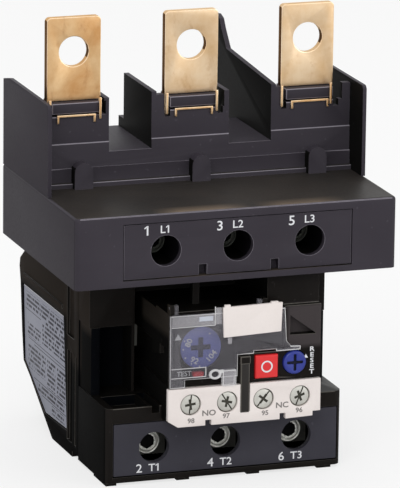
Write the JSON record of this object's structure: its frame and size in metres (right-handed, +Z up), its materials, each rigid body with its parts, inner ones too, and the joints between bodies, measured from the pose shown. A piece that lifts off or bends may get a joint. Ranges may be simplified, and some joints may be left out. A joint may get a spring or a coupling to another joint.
{
  "type": "thermal overload relay",
  "caption": "Thermal overload relay with busbar lugs in an adapter block, covered current dial, stop and reset buttons, and screw terminals.",
  "frame": {"origin": "under the middle of the part, on the plane it rests on", "axes": "+X to the right seen from the front, +Y towards the back, +Z up, lugs upwards"},
  "size_m": [0.12, 0.116, 0.1631],
  "materials": {
    "adapter": "fine-grained charcoal thermoplastic",
    "relay_case": "smooth black thermoplastic",
    "grey_panel": "satin charcoal-grey thermoplastic",
    "bar_metal": "bright drawn bar with a mottled tarnish",
    "screw_steel": "zinc-plated",
    "cage_steel": "plated sheet",
    "heater_alloy": "resistance ribbon",
    "bimetal_alloy": "rolled strip",
    "slide_plastic": "natural moulding",
    "clear_plastic": "clear polished",
    "white_plastic": "off-white moulding",
    "dial_blue": "muted blue",
    "reset_blue": "deep blue",
    "stop_red": "red",
    "label_card": "satin printed card, no lettering"
  },
  "bodies": {
    "relay": {"adapter_housing": "adapter", "side_cheeks": "adapter", "phase_fins": "adapter", "tall_barrier": "adapter", "adapter_cover_plate": "adapter", "lug_retainers": "adapter", "relay_base": "relay_case", "front_housing": "relay_case", "control_housing": "relay_case", "terminal_cover": "grey_panel", "lug_left": "bar_metal", "load_bar_left": "bar_metal", "supply_bar_left": "bar_metal", "heater_left": "heater_alloy", "bimetal_left": "bimetal_alloy", "lug_middle": "bar_metal", "load_bar_middle": "bar_metal", "supply_bar_middle": "bar_metal", "heater_middle": "heater_alloy", "bimetal_middle": "bimetal_alloy", "lug_right": "bar_metal", "load_bar_right": "bar_metal", "supply_bar_right": "bar_metal", "heater_right": "heater_alloy", "bimetal_right": "bimetal_alloy", "lug_clips": "bar_metal", "upper_clamp_screws": "screw_steel", "lower_clamp_screws": "screw_steel", "aux_screws": "screw_steel", "upper_clamp_cages": "cage_steel", "lower_clamp_cages": "cage_steel", "mechanism_plate": "cage_steel", "fixed_contacts": "bar_metal", "aux_terminal_block": "white_plastic", "rating_plate": "label_card"},
    "cover": {"clear_cover": "clear_plastic", "marker_plate": "white_plastic"},
    "dial": {"current_dial": "dial_blue"},
    "stop": {"stop_button": "stop_red", "stop_spring": "cage_steel"},
    "reset": {"reset_plunger": "reset_blue", "reset_spring": "cage_steel"},
    "knob": {"reset_knob": "reset_blue"},
    "test": {"test_slider": "stop_red"},
    "slide": {"transmission_slide": "slide_plastic"},
    "lever": {"trip_lever": "slide_plastic"},
    "bridge": {"contact_bridge": "slide_plastic"}
  },
  "joints": [
    {"name": "cover_hinge", "type": "hinge", "parent": "relay", "child": "cover", "pos_m": [0, -0.0538, 0.0662], "axis": [-1, 0, 0], "range_deg": [0, 88]},
    {"name": "dial_turn", "type": "hinge", "parent": "relay", "child": "dial", "pos_m": [-0.011, -0.049, 0.0502], "axis": [0, 1, 0], "range_deg": [0, 150]},
    {"name": "stop_press", "type": "slide", "parent": "relay", "child": "stop", "axis": [0, 1, 0], "range_m": [0, 0.0025], "stiffness_N_per_m": 600},
    {"name": "reset_press", "type": "slide", "parent": "relay", "child": "reset", "axis": [0, 1, 0], "range_m": [0, 0.0025], "stiffness_N_per_m": 600},
    {"name": "reset_turn", "type": "hinge", "parent": "reset", "child": "knob", "pos_m": [0.0233, -0.053, 0.043], "axis": [0, 1, 0], "range_deg": [0, 90]},
    {"name": "test_slide", "type": "slide", "parent": "relay", "child": "test", "axis": [1, 0, 0], "range_m": [0, 0.003]},
    {"name": "transmission", "type": "slide", "parent": "relay", "child": "slide", "axis": [1, 0, 0], "range_m": [0, 0.0025]},
    {"name": "lever_turn", "type": "hinge", "parent": "relay", "child": "lever", "pos_m": [0.014, -0.004, 0.048], "axis": [0, 1, 0], "range_deg": [0, 12.5]},
    {"name": "contact_move", "type": "slide", "parent": "relay", "child": "bridge", "axis": [1, 0, 0], "range_m": [-0.0025, 0]}
  ],
  "couplings": [
    {"joint": "lever_turn", "follows": "transmission", "rad_per_m": 87.266},
    {"joint": "contact_move", "follows": "transmission", "ratio": -1}
  ]
}
